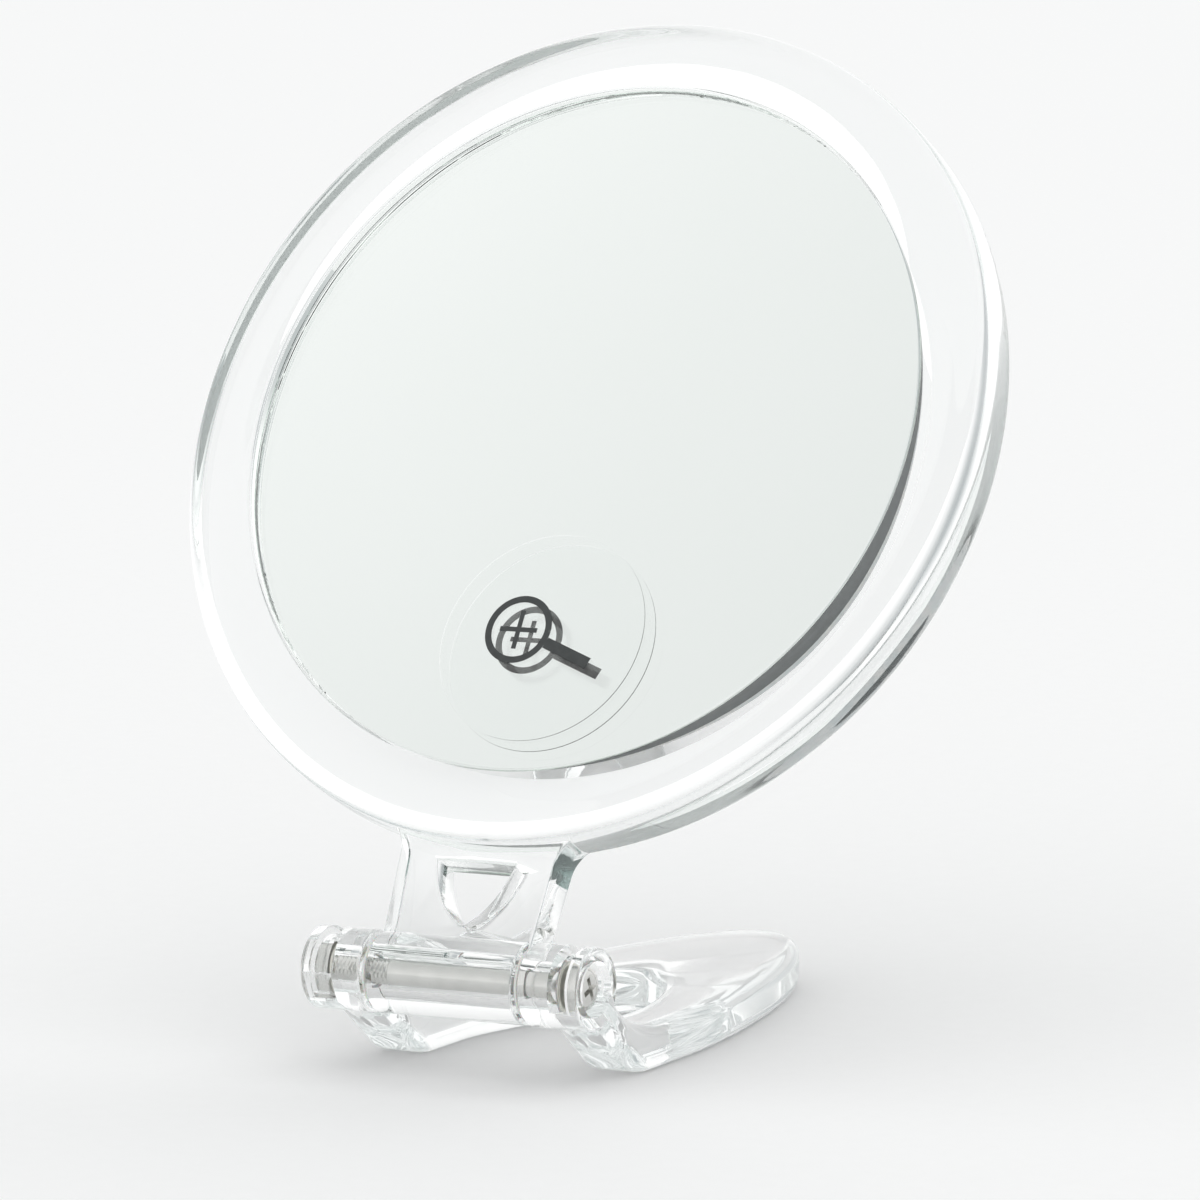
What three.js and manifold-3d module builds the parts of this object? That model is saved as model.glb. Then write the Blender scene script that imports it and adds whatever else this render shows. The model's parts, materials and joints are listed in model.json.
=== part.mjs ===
// Two-sided hand and travel mirror in clear acrylic, whose handle folds round one
// hinge pin and serves as the stand. Millimetres, +Z up; X runs along the hinge pin,
// -Y is the side that the magnifying mirror looks to. The stand rests on the plane
// z = 0, and the origin is the centre of the object's box on that plane.
import * as THREE from "three";
import { mergeVertices } from "three/addons/utils/BufferGeometryUtils.js";
import Module from "manifold-3d";

const wasm = await Module();
wasm.setup();

// ---- Driving dimensions -------------------------------------------------------

const RING_R = 70; // outer radius of the clear ring round the mirrors
const RING_HALF = 6; // half its thickness
const SECTION_R = 63.5; // radius of the ring's thickest circle
const SECTION_POWER = 3.5; // how square the ring's section is: 2 would be an ellipse
const LIP_R = 58; // opening in front, inside which the glass shows
const LIP_Z = 5; // height of the front lip above the ring's mid plane
const LIP_THICK = 0.6;
const RECESS_R = 58.6; // bore that the mirror stack drops into from behind
const RIM_THICK = 1.5; // retaining rim pressed into the recess at the back
const RIM_OPENING_R = 56.5;

const GLASS_R = 58.3;
const MAGNIFIER_THICK = 2.6;
const MAGNIFIER_SAG = 3; // depth of the concave glass at its centre
const PLANE_THICK = 1.6;
const SPACER_INNER_R = 52;
const LABEL_R = 17.6;
const LABEL_RIGHT = 2; // label centre from the ring's centre
const LABEL_DOWN = 35.5;
const LABEL_THICK = 0.2;

const HINGE_DOWN = 90.5; // hinge axis below the ring's centre, along the mirror
const HINGE_BACK = 0.6; // hinge axis behind the ring's mid plane
const NECK_HALF_WIDTH = 13.75;
const NECK_THICK = 6.4;
const NECK_FLARE = 4; // radius where the neck widens into the ring
const HOLE_HALF_WIDTH = 6.9; // hang hole: a curved triangle, widest at its top
const HOLE_TOP = 72.7; // its flat side below the ring's centre
const HOLE_DEPTH = 10.8;
const HOLE_TIP_R = 1.4; // rounding at its lower end
const BARREL_R = 6.4;
const BARREL_HALF = 12.9;
const BARREL_BORE_R = 2.65;

const LEAN_DEG = 29.5; // how far the mirror leans back at rest
const HINGE_HEIGHT = 15.9; // hinge axis above the table
const STAND_TOP = 7.4; // flat upper face of the stand's leaf
const STAND_LENGTH = 100.5; // hinge axis to the tip of the leaf
const STAND_HALF_WIDTH = 24.5;
const TIP_WIDTH = 15; // how full the tip is: the pull of its end curve
const LEAF_EDGE = 2.4; // rounding of the leaf's long edges
const NOTCH_END = 58; // hinge axis to the closed end of the slot between the arms
const LEAF_START = 17; // hinge axis to the front of the leaf, between the heels
const SIDE_STRAIGHT = 30; // where the leaf's sides stop being parallel
const SIDE_PULL = 48; // how far they hold that direction before curving in
const NOTCH_STRAIGHT = 28; // the same two places for the slot's sides
const NOTCH_PULL = 36;
const NOTCH_ROUND = 6.5; // how full the slot's closed end is
const EAR_INNER = 14; // inner face of each ear from the centre
const EAR_R = 6.45;
const EAR_NECK_R = 5.2;
const EAR_NECK = [20.3, 22.5]; // groove behind each ear's outer flange
const EAR_BORE_R = 2.3;
const HEEL_STEP = 3; // steepest part of the heel, from the hinge axis back
const HEEL_TOP = -7; // its height against the hinge axis
const HEEL_FOOT = 11; // where the slope meets the rounding above the table
const HEEL_FOOT_Z = -13.3;
const HEEL_REST = 13.8; // pull of that rounding
const ARM_TOP = 6; // where the arm's sweep leaves the ear, and its pull
const ARM_PULL = 11;
const ARM_RUNOUT = 20; // where the sweep meets the leaf's top
const POCKET_FLOOR = 19.6; // the pockets for the screw head and the nut
const HEAD_POCKET_R = 4.4;

const SCREW_R = 2; // M4
const SCREW_LENGTH = 45;
const SCREW_HEAD_R = 3.5;
const SCREW_HEAD_HEIGHT = 2.6;
const SCREW_TIP = -24.2;
const RECESS_LENGTH = 4.2; // the cross in the screw's head
const RECESS_WIDTH = 0.9;
const RECESS_DEPTH = 1.3;
const NUT_ACROSS_FLATS = 7;
const NUT_THICK = 3.2;
const NUT_POCKET_FLATS = 7.8;
const HEAD_WASHER_R = 4;
const NUT_WASHER_R = 3.5;
const WASHER_THICK = 0.5;
const FRICTION_WASHER_R = 5.8;
const FRICTION_WASHER_THICK = 0.5;

const GAP = 0.3; // clearance between pieces that touch
const ROUND_STEPS = 72; // facets round the big ring
const SMALL_STEPS = 32; // facets round the hinge parts

// ---- Materials ----------------------------------------------------------------

const finish = (color, roughness, metalness) =>
  new THREE.MeshStandardMaterial({ color, roughness, metalness });
const acrylic = () => finish(0xf1f5f4, 0.06, 0);
const silvered = () => finish(0xe9eeec, 0.03, 1);
const steel = () => finish(0xc4c6c4, 0.3, 1);
const nylon = () => finish(0xe8e9e4, 0.45, 0);
const foam = () => finish(0xcfd2cf, 0.9, 0);
const film = () => finish(0xe6ebea, 0.15, 0);

// ---- Shape helpers ------------------------------------------------------------

// A closed geometry as a solid that can be joined and cut.
function solid(geometry) {
  const bare = geometry.clone();
  bare.deleteAttribute("normal");
  bare.deleteAttribute("uv");
  const merged = mergeVertices(bare, 1e-4);
  return new wasm.Manifold(
    new wasm.Mesh({
      numProp: 3,
      vertProperties: merged.attributes.position.array,
      triVerts: new Uint32Array(merged.index.array),
    }),
  );
}

function named(name, body, material) {
  const { vertProperties, triVerts } = body.getMesh();
  const geometry = new THREE.BufferGeometry()
    .setAttribute("position", new THREE.BufferAttribute(vertProperties, 3))
    .setIndex(new THREE.BufferAttribute(triVerts, 1));
  geometry.computeVertexNormals();
  const mesh = new THREE.Mesh(geometry, material);
  mesh.name = name;
  return mesh;
}

// Revolves [radius, height] points round Z; a profile runs up its outer side.
function turned(profile, steps = ROUND_STEPS) {
  const points = profile.map(([r, h]) => new THREE.Vector2(r, h));
  return new THREE.LatheGeometry(points, steps).rotateX(Math.PI / 2);
}

// The same, round X: heights become places along the hinge pin.
const turnedAlongX = (profile) =>
  turned(profile, SMALL_STEPS).rotateY(Math.PI / 2);

const rod = (r, from, to) =>
  solid(turnedAlongX([[0, from], [r, from], [r, to], [0, to]]));

const washer = (r, bore, from, to) =>
  solid(turnedAlongX([[bore, from], [r, from], [r, to], [bore, to], [bore, from]]));

// A hexagonal prism round X.
function hexagon(acrossFlats, from, to) {
  const corner = acrossFlats / Math.sqrt(3);
  const prism = new THREE.CylinderGeometry(corner, corner, to - from, 6);
  return solid(prism.rotateZ(Math.PI / 2).translate((from + to) / 2, 0, 0));
}

// Extrudes an outline drawn in (y, z) along X.
function slabAlongX(shape, from, to) {
  const prism = new THREE.ExtrudeGeometry(shape, {
    depth: to - from,
    bevelEnabled: false,
    curveSegments: 10,
  });
  const axes = new THREE.Matrix4().makeBasis(
    new THREE.Vector3(0, 1, 0),
    new THREE.Vector3(0, 0, 1),
    new THREE.Vector3(1, 0, 0),
  );
  return solid(prism.applyMatrix4(axes).translate(from, 0, 0));
}

// ---- Head: everything that swings on the hinge --------------------------------
// Drawn with the ring's centre at the origin, Y up along the mirror, Z out of its
// magnifying face.

// The outer half of the ring's section, from its front crest round to its back.
function ringSide() {
  const steps = 14;
  const points = [];
  for (let i = 0; i <= steps; i++) {
    const angle = Math.PI * (i / steps - 0.5);
    const along = Math.abs(Math.cos(angle)) ** (2 / SECTION_POWER);
    const up = Math.abs(Math.sin(angle)) ** (2 / SECTION_POWER);
    points.push([
      SECTION_R + (RING_R - SECTION_R) * along,
      RING_HALF * up * Math.sign(angle),
    ]);
  }
  return points;
}

// The dome between the ring's front crest and the lip round the glass.
function ringDome() {
  const steps = 4;
  const points = [];
  for (let i = 1; i <= steps; i++) {
    const share = i / steps;
    points.push([
      SECTION_R + (LIP_R - SECTION_R) * share,
      RING_HALF + (LIP_Z - RING_HALF) * share ** 2,
    ]);
  }
  return points;
}

function frontRing() {
  const profile = [
    [RECESS_R, -RING_HALF],
    ...ringSide(),
    ...ringDome(),
    [LIP_R, LIP_Z - LIP_THICK],
    [RECESS_R, LIP_Z - LIP_THICK],
    [RECESS_R, -RING_HALF],
  ];
  return solid(turned(profile));
}

// Neck outline from inside the ring's wall down to the hinge axis.
function neckShape() {
  const w = NECK_HALF_WIDTH;
  const ringAt = (x) => -Math.sqrt((RING_R - 1) ** 2 - x ** 2);
  const shape = new THREE.Shape();
  shape.moveTo(-w - NECK_FLARE, ringAt(w + NECK_FLARE));
  shape.quadraticCurveTo(-w, ringAt(w) - 1, -w, ringAt(w) - NECK_FLARE - 1);
  shape.lineTo(-BARREL_HALF, -HINGE_DOWN);
  shape.lineTo(BARREL_HALF, -HINGE_DOWN);
  shape.lineTo(w, ringAt(w) - NECK_FLARE - 1);
  shape.quadraticCurveTo(w, ringAt(w) - 1, w + NECK_FLARE, ringAt(w + NECK_FLARE));
  shape.lineTo(0, -RING_R + 1.5);
  return shape;
}

// The hang hole: a flat top side and two bowed sides that meet at the bottom.
function hangHole() {
  const w = HOLE_HALF_WIDTH;
  const bulge = 0.75 * w;
  const bulgeY = -HOLE_TOP - 0.62 * HOLE_DEPTH;
  const tip = -HOLE_TOP - HOLE_DEPTH;
  const tipSide = tip + HOLE_TIP_R;
  const shape = new THREE.Shape();
  shape.moveTo(-w, -HOLE_TOP);
  shape.quadraticCurveTo(-bulge, bulgeY, -HOLE_TIP_R, tipSide);
  shape.quadraticCurveTo(0, tip, HOLE_TIP_R, tipSide);
  shape.quadraticCurveTo(bulge, bulgeY, w, -HOLE_TOP);
  return shape;
}

// Extrudes an outline drawn in (x, y) along Z, centred on a height.
function flat(shape, thick, middle) {
  const prism = new THREE.ExtrudeGeometry(shape, {
    depth: thick,
    bevelEnabled: false,
    curveSegments: 8,
  });
  return solid(prism.translate(0, 0, middle - thick / 2));
}

const onHinge = (body) => body.translate(0, -HINGE_DOWN, -HINGE_BACK);

function frontFrame() {
  const body = flat(neckShape(), NECK_THICK, -HINGE_BACK)
    .add(onHinge(rod(BARREL_R, -BARREL_HALF, BARREL_HALF)))
    .add(frontRing())
    .subtract(flat(hangHole(), NECK_THICK + 2, -HINGE_BACK))
    .subtract(onHinge(rod(BARREL_BORE_R, -BARREL_HALF - 1, BARREL_HALF + 1)));
  return named("front_frame", body, acrylic());
}

// Pressed into the back of the recess, where it holds the mirror stack in.
function rearRim() {
  const inner = -RING_HALF + RIM_THICK;
  const outer = RECESS_R - GAP;
  const profile = [
    [RIM_OPENING_R, -RING_HALF],
    [outer, -RING_HALF],
    [outer, inner],
    [RIM_OPENING_R, inner],
    [RIM_OPENING_R, -RING_HALF],
  ];
  return named("rear_rim", solid(turned(profile)), acrylic());
}

// Height of the concave glass's front face at radius r.
function concave(r) {
  const edge = LIP_Z - LIP_THICK - GAP;
  return edge - MAGNIFIER_SAG * (1 - (r / GLASS_R) ** 2);
}

// A disc that follows the concave face, between two heights above it.
function dish(radius, below, above) {
  const steps = 6;
  const lower = [];
  const upper = [];
  for (let i = 0; i <= steps; i++) {
    const r = (radius * i) / steps;
    lower.push([r, concave(r) + below]);
    upper.unshift([r, concave(r) + above]);
  }
  return solid(turned([...lower, ...upper]));
}

const planeFront = concave(0) - MAGNIFIER_THICK - GAP;

function planeMirror() {
  const back = planeFront - PLANE_THICK;
  const profile = [[0, back], [GLASS_R, back], [GLASS_R, planeFront], [0, planeFront]];
  return named("plane_mirror", solid(turned(profile)), silvered());
}

// Foam ring that keeps the two glasses apart at their edges.
function mirrorSpacer() {
  const back = planeFront + GAP;
  const front = concave(SPACER_INNER_R) - MAGNIFIER_THICK - GAP;
  const profile = [
    [SPACER_INNER_R, back],
    [GLASS_R, back],
    [GLASS_R, front],
    [SPACER_INNER_R, front],
    [SPACER_INNER_R, back],
  ];
  return named("mirror_spacer", solid(turned(profile)), foam());
}

// Round film sticker, curved to lie on the concave glass.
function magnificationLabel() {
  const column = solid(turned([[0, -9], [LABEL_R, -9], [LABEL_R, 9], [0, 9]], 48))
    .translate(LABEL_RIGHT, -LABEL_DOWN, 0);
  const body = dish(GLASS_R, GAP, GAP + LABEL_THICK).intersect(column);
  return named("magnification_label", body, film());
}

function makeHead() {
  const head = new THREE.Group();
  head.add(
    frontFrame(),
    rearRim(),
    named("magnifying_mirror", dish(GLASS_R, -MAGNIFIER_THICK, 0), silvered()),
    planeMirror(),
    mirrorSpacer(),
    magnificationLabel(),
  );
  head.position.set(0, HINGE_DOWN, HINGE_BACK);
  return head;
}

// ---- Stand ----------------------------------------------------------------------
// Drawn with the hinge axis at the origin, Y back along the table, Z up.

const LEAF_TOP = STAND_TOP - HINGE_HEIGHT;
const LEAF_BOTTOM = -HINGE_HEIGHT;

// The leaf seen from above: a rounded tongue with an arched slot between its arms.
function leaf() {
  const w = STAND_HALF_WIDTH;
  const n = EAR_INNER;
  const shape = new THREE.Shape();
  shape.moveTo(w, LEAF_START);
  shape.lineTo(w, SIDE_STRAIGHT);
  shape.bezierCurveTo(w, SIDE_PULL, TIP_WIDTH, STAND_LENGTH, 0, STAND_LENGTH);
  shape.bezierCurveTo(-TIP_WIDTH, STAND_LENGTH, -w, SIDE_PULL, -w, SIDE_STRAIGHT);
  shape.lineTo(-w, LEAF_START);
  shape.lineTo(-n, LEAF_START);
  shape.lineTo(-n, NOTCH_STRAIGHT);
  shape.bezierCurveTo(-n, NOTCH_PULL, -NOTCH_ROUND, NOTCH_END, 0, NOTCH_END);
  shape.bezierCurveTo(NOTCH_ROUND, NOTCH_END, n, NOTCH_PULL, n, NOTCH_STRAIGHT);
  shape.lineTo(n, LEAF_START);
  const prism = new THREE.ExtrudeGeometry(shape, {
    depth: STAND_TOP - 2 * LEAF_EDGE,
    bevelThickness: LEAF_EDGE,
    bevelSize: LEAF_EDGE,
    bevelOffset: -LEAF_EDGE,
    bevelSegments: 3,
    curveSegments: 14,
  });
  return solid(prism.translate(0, 0, LEAF_BOTTOM + LEAF_EDGE));
}

// One arm from the side: its heel slopes down from under the ear to the table, and
// its upper edge sweeps from the ear down to the leaf's flat face.
function armShape() {
  const shape = new THREE.Shape();
  const inLeaf = LEAF_START + 7;
  const inEar = 1;
  shape.moveTo(inEar, HEEL_TOP + 2);
  shape.lineTo(HEEL_STEP, HEEL_TOP);
  shape.lineTo(HEEL_FOOT, HEEL_FOOT_Z);
  shape.quadraticCurveTo(HEEL_REST, LEAF_BOTTOM, LEAF_START, LEAF_BOTTOM);
  shape.lineTo(inLeaf, LEAF_BOTTOM);
  shape.lineTo(inLeaf, LEAF_TOP);
  shape.lineTo(ARM_RUNOUT, LEAF_TOP);
  shape.quadraticCurveTo(ARM_PULL, LEAF_TOP + 0.5, ARM_TOP, -2);
  shape.lineTo(inEar, -1);
  return shape;
}

// One ear and its arm; side is 1 on the right, where the screw head sits.
function arm(side) {
  const from = Math.min(side * EAR_INNER, side * STAND_HALF_WIDTH);
  const to = Math.max(side * EAR_INNER, side * STAND_HALF_WIDTH);
  const [grooveStart, grooveEnd] = EAR_NECK;
  const groove = washer(
    EAR_R + 2,
    EAR_NECK_R,
    Math.min(side * grooveStart, side * grooveEnd),
    Math.max(side * grooveStart, side * grooveEnd),
  );
  const reach = 3 * EAR_R; // the groove only runs over the ear's upper half
  const upper = solid(new THREE.BoxGeometry(80, 2 * reach, 2 * reach))
    .translate(0, 0, reach - EAR_R / 2);
  return rod(EAR_R, from, to)
    .subtract(groove.intersect(upper))
    .add(slabAlongX(armShape(), from, to));
}

function stand() {
  const pocketEnd = STAND_HALF_WIDTH + 1;
  const body = leaf()
    .add(arm(1))
    .add(arm(-1))
    .subtract(rod(EAR_BORE_R, -pocketEnd, pocketEnd))
    .subtract(rod(HEAD_POCKET_R, POCKET_FLOOR, pocketEnd))
    .subtract(hexagon(NUT_POCKET_FLATS, -pocketEnd, -POCKET_FLOOR));
  return named("stand", body, acrylic());
}

// ---- Hinge hardware, along X through the hinge axis --------------------------------

function hingeScrew() {
  const seat = SCREW_TIP + SCREW_LENGTH;
  const top = seat + SCREW_HEAD_HEIGHT;
  const profile = [
    [0, SCREW_TIP],
    [SCREW_R - 0.5, SCREW_TIP],
    [SCREW_R, SCREW_TIP + 0.5],
    [SCREW_R, seat],
    [SCREW_HEAD_R, seat],
    [SCREW_HEAD_R, top - 1],
    [SCREW_HEAD_R - 0.9, top - 0.2],
    [0, top],
  ];
  const slot = (y, z) =>
    solid(new THREE.BoxGeometry(2 * RECESS_DEPTH, y, z).translate(top, 0, 0));
  const body = solid(turnedAlongX(profile))
    .subtract(slot(RECESS_WIDTH, RECESS_LENGTH))
    .subtract(slot(RECESS_LENGTH, RECESS_WIDTH));
  return named("hinge_screw", body, steel());
}

function makeHardware() {
  const washerSeat = POCKET_FLOOR + GAP;
  const nutSeat = washerSeat + WASHER_THICK + GAP;
  const nut = hexagon(NUT_ACROSS_FLATS, -nutSeat - NUT_THICK, -nutSeat)
    .subtract(rod(SCREW_R + 0.25, -nutSeat - NUT_THICK - 1, 0));
  const headWasher =
    washer(HEAD_WASHER_R, EAR_BORE_R, washerSeat, washerSeat + WASHER_THICK);
  const nutWasher =
    washer(NUT_WASHER_R, EAR_BORE_R, -washerSeat - WASHER_THICK, -washerSeat);
  const pieces = [
    hingeScrew(),
    named("hinge_nut", nut, steel()),
    named("head_washer", headWasher, steel()),
    named("nut_washer", nutWasher, steel()),
  ];
  const slipStart = BARREL_HALF + GAP;
  const slipEnd = slipStart + FRICTION_WASHER_THICK;
  const right = washer(FRICTION_WASHER_R, EAR_BORE_R, slipStart, slipEnd);
  const left = washer(FRICTION_WASHER_R, EAR_BORE_R, -slipEnd, -slipStart);
  pieces.push(named("right_friction_washer", right, nylon()));
  pieces.push(named("left_friction_washer", left, nylon()));
  return pieces;
}

// ---- Assembly ---------------------------------------------------------------------

// The swing group turns about the hinge axis; its angle is the lean at rest.
const swing = new THREE.Group();
swing.rotation.x = THREE.MathUtils.degToRad(90 - LEAN_DEG);
swing.add(makeHead());

const assembly = new THREE.Group();
assembly.add(swing, stand(), ...makeHardware());
assembly.position.z = HINGE_HEIGHT;

const mirror = new THREE.Group();
mirror.add(assembly);
const box = new THREE.Box3().setFromObject(mirror, true);
assembly.position.y = -(box.min.y + box.max.y) / 2;

export default mirror;
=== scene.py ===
"""Looks for a two-sided folding hand mirror: clear acrylic, silvered glass and steel.

Every piece is drawn in millimetres in one of two drawing frames and then placed:
HEAD has the ring's centre at its origin, Y up along the mirror and Z out of the
magnifying face. STAND has the hinge axis at its origin, X along the pin, Y back along
the table and Z up.
"""

import json
import math

import bmesh
import bpy
from mathutils import Matrix, Vector


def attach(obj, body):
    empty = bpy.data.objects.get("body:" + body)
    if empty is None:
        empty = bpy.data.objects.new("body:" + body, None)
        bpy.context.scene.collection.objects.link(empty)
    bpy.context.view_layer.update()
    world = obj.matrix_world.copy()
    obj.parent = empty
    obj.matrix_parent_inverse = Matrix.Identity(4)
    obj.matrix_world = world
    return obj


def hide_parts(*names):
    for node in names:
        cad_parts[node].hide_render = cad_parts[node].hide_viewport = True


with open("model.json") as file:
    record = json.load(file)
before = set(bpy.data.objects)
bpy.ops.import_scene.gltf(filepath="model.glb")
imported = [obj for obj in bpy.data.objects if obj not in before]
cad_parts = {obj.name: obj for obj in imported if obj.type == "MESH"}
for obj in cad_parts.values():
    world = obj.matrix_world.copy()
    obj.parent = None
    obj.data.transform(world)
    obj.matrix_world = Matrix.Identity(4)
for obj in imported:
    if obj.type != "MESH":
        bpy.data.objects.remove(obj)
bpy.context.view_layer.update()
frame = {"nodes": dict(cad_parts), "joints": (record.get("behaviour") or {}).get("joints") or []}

# ---- Driving dimensions ------------------------------------------------------------
# Millimetres, as in the CAD model, or up to 0.05 less where the shape must stay inside it.

RING_R = 69.95
RING_HALF = 5.97  # half the ring's thickness
SECTION_R = 63.5  # radius of the ring's thickest circle
SECTION_POWER = 3.5  # how square the ring's section is
LIP_R = 58  # opening inside which the glass shows
LIP_Z = 5
LIP_THICK = 0.6
LIP_ROUND = 0.3  # rounding of the lip's front edge
RECESS_R = 58.6  # bore that holds the mirror stack
RIM_THICK = 1.5
RIM_OPENING_R = 56.5
GAP = 0.3  # clearance between pieces that touch

GLASS_R = 58.3
GLASS_EDGE_Z = 4.1  # front edge of the concave glass
MAGNIFIER_THICK = 2.6
MAGNIFIER_SAG = 3  # depth of its hollow
MAGNIFIER_CHAMFER = 0.25
PLANE_FRONT = -1.8  # silvered side of the flat glass
PLANE_THICK = 1.6
PLANE_CHAMFER = 0.3

PAINTED_BAND_TOP = 4.1  # top of two bands painted on the ring's wall at its lower right: painted shade, and below it painted pale streaks
PAINTED_BAND_MIDDLE_DEG = -31  # round the ring, from +X
PAINTED_BAND_HALF_DEG = 50
SHADE_BAND_DEPTH = 7.4  # how far down the band of painted shade reaches, and below it the band of painted streaks
STREAK_BAND_DEPTH = 8.8

LABEL_R = 17.6
LABEL_CENTRE = (2, -35.5)
LABEL_RISE = 0.32  # above the concave glass
LABEL_THICK = 0.16
SIGN_OFFSET = (-4.6, 1.2)  # the printed sign's lens from the label's centre
SIGN_LENS_R = 5.2
SIGN_WEIGHT = 1.1  # width of the lens's line
SIGN_HANDLE = 9  # length
SIGN_HANDLE_WEIGHT = 1.87
SIGN_HANDLE_DEG = -20
SIGN_PLUS = 3.3  # from the plus's middle to the end of each arm
SIGN_PLUS_WEIGHT = 0.8
PRINT_RISE = 0.5
PRINT_THICK = 0.03

HINGE_DOWN = 90.5  # hinge axis below the ring's centre, along the mirror
HINGE_BACK = 0.6  # and behind its mid plane
NECK_HALF_WIDTH = 13.75
NECK_THICK = 6.4
NECK_FLARE = 4  # radius where the neck widens into the ring
NECK_EDGE = 0.5  # rounding of the neck's long edges
NECK_ROOT = 1.5  # how far the neck's top reaches into the ring
HOLE_HALF_WIDTH = 6.9
HOLE_TOP = 72.7  # its flat side below the ring's centre
HOLE_DEPTH = 10.8
HOLE_TIP_R = 1.4
HOLE_MOUTH = ((0, 0.6), (0.17, 0.3), (0.6, 0))  # (depth below a face, extra width there)
BARREL_R = 6.4
BARREL_HALF = 12.9
BARREL_BORE_R = 2.65
BARREL_EDGE = 0.4

LEAN_DEG = 29.5  # how far the mirror leans back at rest
STAND_TOP = 7.4  # flat upper face of the leaf above the table
STAND_LENGTH = 100.45  # hinge axis to the tip of the leaf
STAND_HALF_WIDTH = 24.45
TIP_WIDTH = 15  # how full the tip is
LEAF_EDGE = 2.4  # rounding of the leaf's long edges
HEEL_TOP = (-3, -2.3)  # the heel's slope, as (y, z) from the hinge axis
HEEL_FOOT = (11, -13.3)
HEEL_PULL = 13.8
HEEL_REST = 17.5  # where the rounded heel meets the table
ARM_RUNOUT = 20  # the arm's sweep, from the leaf's top up to the ear
ARM_PULL = 11
ARM_TOP = (6, -2)
ARM_CORE = (3, 2)  # inside the ear
SIDE_STRAIGHT = 30  # where the leaf's sides stop being parallel
SIDE_PULL = 48  # how far they hold that direction before curving in
NOTCH_STRAIGHT = 28  # the same two places for the slot between the arms
NOTCH_PULL = 36
NOTCH_ROUND = 6.5  # how full the slot's closed end is
NOTCH_END = 58
EAR_INNER = 14  # inner face of each ear from the centre
EAR_R = 6.45
EAR_EDGE = 0.5
EAR_NECK_R = 5.2
EAR_NECK = (20.3, 22.5)  # groove behind each ear's outer flange
EAR_RAMP = 1.3  # slope on the inner side of the groove
EAR_BORE_R = 2.3
POCKET_FLOOR = 19.6  # of the pockets for the screw's head and the nut
HEAD_POCKET_R = 4.4
NUT_POCKET_FLATS = 7.8

SCREW_R = 2  # M4
SCREW_TIP = -24.2
SCREW_SEAT = 20.8  # under the screw's head, and mirrored, under the nut
SCREW_HEAD_R = 3.5
SCREW_HEAD_HEIGHT = 2.6
CROSS_TOP = (4.2, 0.9)  # length and width of each slot in the head's face
CROSS_BOTTOM = (1.4, 0.6)
CROSS_DEPTH = 1.8
CROSS_TURN_DEG = 20
THREAD_PITCH = 0.7
THREAD_LENGTH = 14
THREAD_DEPTH = 0.4
NUT_ACROSS_FLATS = 7
NUT_THICK = 3.2
NUT_CHAMFER = 0.35
HEAD_WASHER_R = 4
NUT_WASHER_R = 3.5
FRICTION_WASHER_R = 5.8
WASHER_BORE_R = 2.3
WASHER_THICK = 0.5

FINE = 256  # steps round the big ring
ROUND = 96  # steps round the hinge parts
MERGE = 1e-5  # points closer than this are one

hinge = Vector(frame["joints"][0]["pos_m"])
HINGE_HEIGHT = hinge.z * 1000
STAND = Matrix.Translation(hinge) @ Matrix.Scale(0.001, 4)
HEAD = (
    STAND
    @ Matrix.Rotation(math.radians(90 - LEAN_DEG), 4, "X")
    @ Matrix.Translation((0, HINGE_DOWN, HINGE_BACK))
)


# ---- Mesh helpers ------------------------------------------------------------------


def new_piece(name, mesh):
    """Adds a mesh to the scene as a piece of its own."""
    piece = bpy.data.objects.new(name, mesh)
    bpy.context.scene.collection.objects.link(piece)
    return piece


def mesh_from(name, vertices, faces):
    """A piece from points and faces, with doubled points merged and faces turned out."""
    mesh = bpy.data.meshes.new(name)
    mesh.from_pydata([tuple(v) for v in vertices], [], faces)
    mesh.validate()
    bm = bmesh.new()
    bm.from_mesh(mesh)
    bmesh.ops.remove_doubles(bm, verts=bm.verts, dist=MERGE)
    bmesh.ops.recalc_face_normals(bm, faces=bm.faces)
    bm.to_mesh(mesh)
    bm.free()
    return new_piece(name, mesh)


def turned(name, profile, steps=FINE, axis="Z"):
    """Revolves (radius, height) points; a profile off the axis closes on itself."""
    vertices, faces = [], []
    closed = profile[0][0] > 0
    count = len(profile)
    for step in range(steps):
        angle = 2 * math.pi * step / steps
        c, s = math.cos(angle), math.sin(angle)
        for r, h in profile:
            vertices.append((r * c, r * s, h) if axis == "Z" else (h, r * c, r * s))
    for step in range(steps):
        a, b = step * count, (step + 1) % steps * count
        for i in range(count if closed else count - 1):
            j = (i + 1) % count
            faces.append((a + i, a + j, b + j, b + i))
    return mesh_from(name, vertices, faces)


def loop_faces(a, b, count):
    """Faces between two closed rows of points, which start at indices a and b."""
    turns = [(i, (i + 1) % count) for i in range(count)]
    return [(a + i, a + j, b + j, b + i) for i, j in turns]


def stacked(name, layers):
    """A closed solid through outlines of equal length: a list of lists of points."""
    count = len(layers[0])
    vertices = [point for layer in layers for point in layer]
    faces = [tuple(range(count)), tuple(range(len(vertices) - count, len(vertices)))]
    for low in range(0, len(vertices) - count, count):
        faces += loop_faces(low, low + count, count)
    return mesh_from(name, vertices, faces)


def prism(name, outline, low, high, axis="Z"):
    """Extrudes a plan outline along Z, or a side outline in (y, z) along X."""
    if axis == "Z":
        layers = [[(x, y, h) for x, y in outline] for h in (low, high)]
    else:
        layers = [[(h, y, z) for y, z in outline] for h in (low, high)]
    return stacked(name, layers)


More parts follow.
